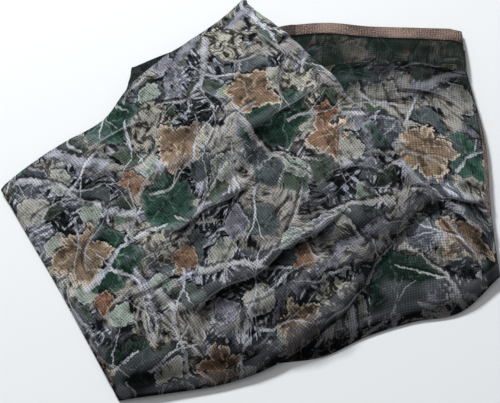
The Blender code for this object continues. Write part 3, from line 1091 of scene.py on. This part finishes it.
def motif_shade(row, motif, here, rough, mottle):
    """How light each place of a motif is between its inks."""
    if row.sizes is LICHEN_PATCH:
        curls = cloudy(here, CURL_SIZE, detail=2.5, warp=1.6)
        return ramp(curls, 0.38, 0.62) * 0.8 + rough * 0.5 - 0.2
    return 0.35 + motif.shade * 0.40 + ramp(mottle, 0.37, 0.63) * 0.35


def camouflage(place):
    """The colour of the printed side at each place on the flat cloth."""
    rough = cloudy(place, ROUGH_SIZE, detail=3.0)
    mottle = cloudy(place, MOTTLE_SIZE, detail=3.0)
    aside = moved(place, "ADD", ASIDE)
    warp = vector(cloudy(place, BEND_SIZE) - 0.5, cloudy(aside, BEND_SIZE) - 0.5)
    broad = cloudy(place, BROAD_SIZE, detail=1.0)
    colour = ground(place, warp, mottle, broad)
    for number, row in enumerate(PASSES):
        layout = tuple(number * step for step in LAYOUT_STEP)
        here = moved(after(place, colour), "ADD", layout)
        beside_it = moved(here, "ADD", (SHADOW_SHIFT, SHADOW_SHIFT, 0.0))
        shadow = use_group(row.group, beside_it, warp, rough, row.sizes).inside
        colour = darker(colour, shadow * row.shadow)
        here = moved(after(place, colour), "ADD", layout)
        motif = use_group(row.group, here, warp, rough, row.sizes)
        light = mixed(row.light, row.other_light, motif.tone)
        drawn = mixed(row.dark, light, motif_shade(row, motif, here, rough, mottle))
        lines = calc("MAXIMUM", motif.vein * row.veins, motif.rim * row.rim)
        colour = mixed(colour, mixed(drawn, row.line_ink, lines), motif.inside)
    fade = ramp(broad, 0.35, 0.62) * 0.20 + ramp(mottle * 0.7 + rough * 0.4, 0.38, 0.54) * 0.50 + 0.30
    return darker(colour, 1 - fade)


# %% [markdown]
# ## The reverse side and the hem
#
# On the reverse the ink shows only faintly through a dark green ground. The long edges are turned over
# and stitched in a brown binding thread, which also shows where the right flap folds over. At the notch
# on the left the hem is as dark a green as the rest, so brown starts a little further along.

# %% The reverse side
REVERSE_SHOWS = 0.22  # share of the print that shows through
STAIN_SIZE = 0.045
GRAIN_SIZE = 0.0016  # of the specks of the hem's thread
BACK_FLAP, RIGHT_FLAP = 2, 3  # levels that show their reverse side and a strip of their hem
HEM_PLAIN = 0.17  # from the back flap's left end to where its hem starts to turn brown
HEM_BLEND = 0.03  # length over which it does
HEM_EDGE = (1.03, 0.97)  # hem widths from the edge of the cloth at which the brown ends and is full
HEM_SHADOW_LINE = (1.35, 1.05)  # the same for the painted shadow line beside it
EDGE_STRIP = 0.007  # width of the strip of hem at the right flap's fold
STRIP_PART = (0.060, 0.215)  # distances from the back edge between which that strip runs


def hem_ink(place, stain):
    """The speckled brown of the hem's thread."""
    grain = cloudy(place, GRAIN_SIZE, detail=1.0)
    return mixed(HEM_DARK, HEM_TAN, ramp(grain * 0.7 + stain * 0.5, 0.42, 0.78))


def reverse_colour(printed, hem_colour, stain, along, across):
    """The dark reverse side with its faint print, and its hem with a painted shadow line beside it."""
    past_notch = ramp(along - BACK_FLAP * PRINT_STEP, HEM_PLAIN, HEM_PLAIN + HEM_BLEND)
    colour = mixed(REVERSE, REVERSE_RUST, ramp(stain, 0.50, 0.68) * past_notch)
    colour = mixed(colour, printed, ramp(stain, 0.2, 0.8) * REVERSE_SHOWS)
    from_edge = across / HEM_WIDTH
    colour = darker(colour, ramp(from_edge, *HEM_SHADOW_LINE) * past_notch * 0.8)
    return mixed(colour, hem_colour, ramp(from_edge, *HEM_EDGE) * past_notch)


def on_edge_strip(along, across):
    """Where the strip of hem at the right flap's fold is."""
    from_fold = along - RIGHT_FLAP * PRINT_STEP
    width = ramp(from_fold, EDGE_STRIP, EDGE_STRIP * 0.8) * ramp(from_fold, -0.004, 0.0)
    first, last = STRIP_PART
    return width * ramp(across, first, first + 0.015) * ramp(across, last, last - 0.025)


# %% [markdown]
# ## Painted shade and highlights on the folds
#
# The steep sides, the hollows and the front edges are given painted shade, and the right flap is darker
# towards its back edge. The sharp crests get a painted highlight, and each tuck a painted shadow line at
# its foot with a painted highlight on its crest. All of it is painted from the marks on the cloth, so it
# stays put when the light or the camera moves. Light inks are spared some of the shade: their streaks
# still show in the dark parts, as they do on the real cloth.

# %% Painted shade and highlights
SIDE_SHADE = 0.80  # painted shade: how much darker the steep sides are
SIDE_SLOPES = (0.955, 0.72)  # the upward part of the normal where that starts and where it is full
LIGHT_INK = (0.06, 0.34)  # the red of an ink that counts as dark, and of one that counts as light
LIGHT_KEPT = 0.60  # share of the painted shade that the light inks are spared
BACK_FADE, BACK_DARK = 0.090, 0.75  # width of the dark part at the right flap's back edge, and its depth
FLAP_END = (0.98, 0.96)  # print steps from its fold to the end of the right flap's part, and just before
FRONT_FADE, FRONT_SHADE = 0.165, 0.74  # width and depth of the painted shade along the front edges
FRONT_BAND, FRONT_BAND_SHADE = 0.030, 0.94  # the same for the darker band of painted shade where they hang down to the table
BAND_KEPT = 0.30  # share of that band that the light inks are spared
HOLLOW_SHADE = 0.60  # how much darker painted shade makes the cloth deep in a hollow
CREST_HIGHLIGHT = 0.08  # how much a sharp crest is lightened by a painted highlight
TUCK_FOOT_SHADOW = 0.56  # how dark the painted shadow line is in which a tuck's side meets the cloth
TUCK_CREST_HIGHLIGHT = 0.30  # how strong the painted highlight is on the crest beside that line
CREASE_PLACE, CREST_PLACE = -0.0004, 0.0062  # where both lie, in plan, from the foot of the steep side
CREASE_LINE = (0.0026, 0.0008)  # where the painted shadow line fades out beside its middle, and where it is full
CREST_LINE = (0.0022, 0.0004)  # the same for the painted highlight on the crest


def at_the_edges(colour, marked, along, across):
    """The colour with painted shade on its steep sides and front edges, and darker towards the right
    flap's back edge.
    """
    tree = colour.socket.id_data
    red = Wire(add_node(tree, "SeparateColor", {0: colour}).outputs[0])
    light_ink = ramp(red, *LIGHT_INK)
    spared = 1 - light_ink * LIGHT_KEPT
    facing_up = parts(Wire(add_node(tree, "NewGeometry", {}).outputs["Normal"]))[2]
    colour = darker(colour, ramp(facing_up, *SIDE_SLOPES) * SIDE_SHADE * spared)
    from_fold = along - RIGHT_FLAP * PRINT_STEP
    on_right_flap = ramp(from_fold, -0.01, 0.0) * ramp(from_fold / PRINT_STEP, *FLAP_END)
    colour = darker(colour, ramp(across, BACK_FADE, 0.0) * on_right_flap * BACK_DARK)
    to_front = marked["to_front"]
    colour = darker(colour, ramp(to_front, FRONT_FADE, 0.0) * FRONT_SHADE * spared)
    band = ramp(to_front, FRONT_BAND, FRONT_BAND * 0.3) * (1 - light_ink * BAND_KEPT)
    return darker(colour, band * FRONT_BAND_SHADE)


def painted_fold_shading(colour, marked):
    """The colour with painted shade in the hollows, a painted highlight on sharp crests, and along each
    tuck a painted shadow line with a painted highlight beside it.
    """
    hollow, foot, printed_side = marked["hollow"], marked["foot"], 1 - marked["reverse"]
    colour = darker(colour, ramp(hollow, 0.10, 1.0) * HOLLOW_SHADE)
    colour = mixed(colour, BARK_PALE, ramp(hollow, -0.25, -1.0) * CREST_HIGHLIGHT * printed_side)
    crest = ramp(abs(foot - CREST_PLACE), *CREST_LINE) * marked["near_tuck"] * printed_side
    colour = mixed(colour, BARK_PALE, crest * TUCK_CREST_HIGHLIGHT)
    crease = ramp(abs(foot - CREASE_PLACE), *CREASE_LINE) * marked["near_tuck"]
    return darker(colour, crease * TUCK_FOOT_SHADOW)


# %% [markdown]
# ## The mesh
#
# Under the print lies a net of fine threads, which stray a little where the cloth was pulled. Its holes
# are darkened with painted shade, for the cloth that lies behind them in shadow, and the threads stand up
# a little. Cut-out holes would need millions of faces, so they are drawn. They are 3 mm apart, a little
# coarser than on the real cloth: finer ones would blur at this distance.

# %% The holes
MESH_PITCH = 0.0030  # from one row of holes to the next
HOLE_LENGTH = 0.0034  # from one hole to the next along a row
HOLE_SHADE = 0.52  # how much darker painted shade makes a hole
THREAD_RELIEF = 0.00025  # metres by which the threads stand up
STRAY_SIZE, STRAY = 0.026, 0.0040  # of the noise by which the threads stray, and how far they do
TIGHT_SIZE = 0.020  # of the places where the net is tighter
TIGHT = 0.62  # how much the holes still show there
HOLE_EDGE = (0.30, 0.75)  # heights of the two waves' product at which a hole begins and is full


def holes(place):
    """About 1 in the middle of a hole, less where the net is tight, and 0 on the threads."""
    stray = (cloudy(place, STRAY_SIZE) - 0.5) * STRAY
    along, across, _ = parts(place)
    wave_along = abs(calc("SINE", (along + stray) * (math.pi / HOLE_LENGTH)))
    wave_across = abs(calc("SINE", (across - stray) * (math.pi / MESH_PITCH)))
    wide = ramp(cloudy(place, TIGHT_SIZE), 0.30, 0.62) * 0.50 + TIGHT
    return ramp(wave_along * wave_across, *HOLE_EDGE) * wide


# %% The netting's material
DULL = {"Roughness": 0.82, "Specular IOR Level": 0.05, "Sheen Weight": 0.02}


def netting_material():
    """Print, reverse side, painted shade and highlights, and holes on a dull polyester thread."""
    material = bpy.data.materials.new("camouflage_mesh")
    material.use_nodes = True
    tree = material.node_tree
    place = Wire(add_node(tree, "UVMap", {}, uv_map="flat_cloth").outputs["UV"])
    marked = {
        name: Wire(add_node(tree, "Attribute", {}, attribute_name=name).outputs["Fac"])
        for name in ("reverse", "hollow", "foot", "near_tuck", "to_front")
    }
    along, across, _ = parts(place)
    printed = camouflage(place)
    stain = cloudy(place, STAIN_SIZE)
    hem_colour = hem_ink(place, stain)
    back = reverse_colour(printed, hem_colour, stain, along, across)
    front = mixed(printed, hem_colour, on_edge_strip(along, across))
    colour = at_the_edges(mixed(front, back, marked["reverse"]), marked, along, across)
    hole = holes(place)
    colour = darker(painted_fold_shading(colour, marked), hole * HOLE_SHADE)
    bump = add_node(tree, "Bump", {"Height": 1 - hole, "Distance": THREAD_RELIEF, "Strength": 0.6})

    shader = tree.nodes["Principled BSDF"]
    put(shader.inputs["Base Color"], colour)
    put(shader.inputs["Normal"], Wire(bump.outputs["Normal"]))
    for name, value in DULL.items():
        shader.inputs[name].default_value = value
    return material


netting.data.materials.append(netting_material())
print("nodes in the material:", len(netting.data.materials[0].node_tree.nodes))

# %% [markdown]
# ## Camera, table and light
#
# The photograph looks down at about 66 degrees from the front, from far enough away that nothing
# converges much. The table is plain and pale. Soft light comes from a window at the back left, so the
# front edges of the folds fall into shade, and a faint glow from above and all round fills that shade.

# %% Camera
CAMERA_HEIGHT_ANGLE = math.radians(66)  # above the table
CAMERA_DISTANCE = 1.25  # metres
LENS, SENSOR = 75.0, 36.0  # millimetres
AIM = Vector((-off_centre[0], -off_centre[1], 0.008))  # the point that the tables count from

camera = bpy.data.objects.new("camera", bpy.data.cameras.new("camera"))
bpy.context.collection.objects.link(camera)
camera.data.lens = LENS
camera.data.sensor_width = SENSOR
camera.rotation_euler = (math.pi / 2 - CAMERA_HEIGHT_ANGLE, 0.0, 0.0)
away = Vector((0.0, -math.cos(CAMERA_HEIGHT_ANGLE), math.sin(CAMERA_HEIGHT_ANGLE)))
camera.location = AIM + CAMERA_DISTANCE * away
bpy.context.scene.camera = camera
print("camera at", [round(value, 3) for value in camera.location])

# %% Table
TABLE_SIZE = 14.0  # metres, so that no low view sees its end near by
TABLE_PALE = 0.93  # share of the light that it sends back
table_edge = TABLE_SIZE / 2
table_corners = [(x * table_edge, y * table_edge, 0.0) for x, y in ((-1, -1), (1, -1), (1, 1), (-1, 1))]
table_mesh = bpy.data.meshes.new("table")
table_mesh.from_pydata(table_corners, [], [(0, 1, 2, 3)])
table = bpy.data.objects.new("table", table_mesh)
bpy.context.collection.objects.link(table)
table_paint = bpy.data.materials.new("pale_table")
table_paint.use_nodes = True
table_shader = table_paint.node_tree.nodes["Principled BSDF"]
table_shader.inputs["Base Color"].default_value = (TABLE_PALE, TABLE_PALE, TABLE_PALE, 1.0)
table_shader.inputs["Roughness"].default_value = 0.9
table_mesh.materials.append(table_paint)
print("table:", TABLE_SIZE, "m square")

# %% Lamps
# Each row: a lamp's place, the length of its sides in metres, and its power. All of them face the pack.
Lamp = namedtuple("Lamp", "name place size watts")
COOL_WHITE = (0.95, 0.98, 1.0)
LAMPS = (
    Lamp("window", (-1.45, 2.70, 2.30), 0.70, 165.0),
    Lamp("sky", (0.20, 0.40, 2.20), 1.8, 4.0),
)
for lamp in LAMPS:
    light = bpy.data.lights.new(lamp.name, "AREA")
    light.size = lamp.size
    light.energy = lamp.watts
    light.color = COOL_WHITE
    lit = bpy.data.objects.new(lamp.name, light)
    lit.location = lamp.place
    lit.rotation_euler = (-Vector(lamp.place)).to_track_quat("-Z", "Y").to_euler()
    bpy.context.collection.objects.link(lit)
    print("lamp:", lamp.name, round(Vector(lamp.place).length, 2), "m away")

# %% The light all round
ALL_ROUND = 0.24  # strength of the glow
world = bpy.context.scene.world or bpy.data.worlds.new("studio")
bpy.context.scene.world = world
world.use_nodes = True
background = world.node_tree.nodes["Background"]
background.inputs["Color"].default_value = (*COOL_WHITE, 1.0)
background.inputs["Strength"].default_value = ALL_ROUND
bpy.context.scene.view_settings.view_transform = "Standard"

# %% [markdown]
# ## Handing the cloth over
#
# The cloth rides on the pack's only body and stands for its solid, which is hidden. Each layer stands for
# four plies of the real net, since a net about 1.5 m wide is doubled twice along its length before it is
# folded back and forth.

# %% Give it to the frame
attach(netting, "root")
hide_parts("netting")
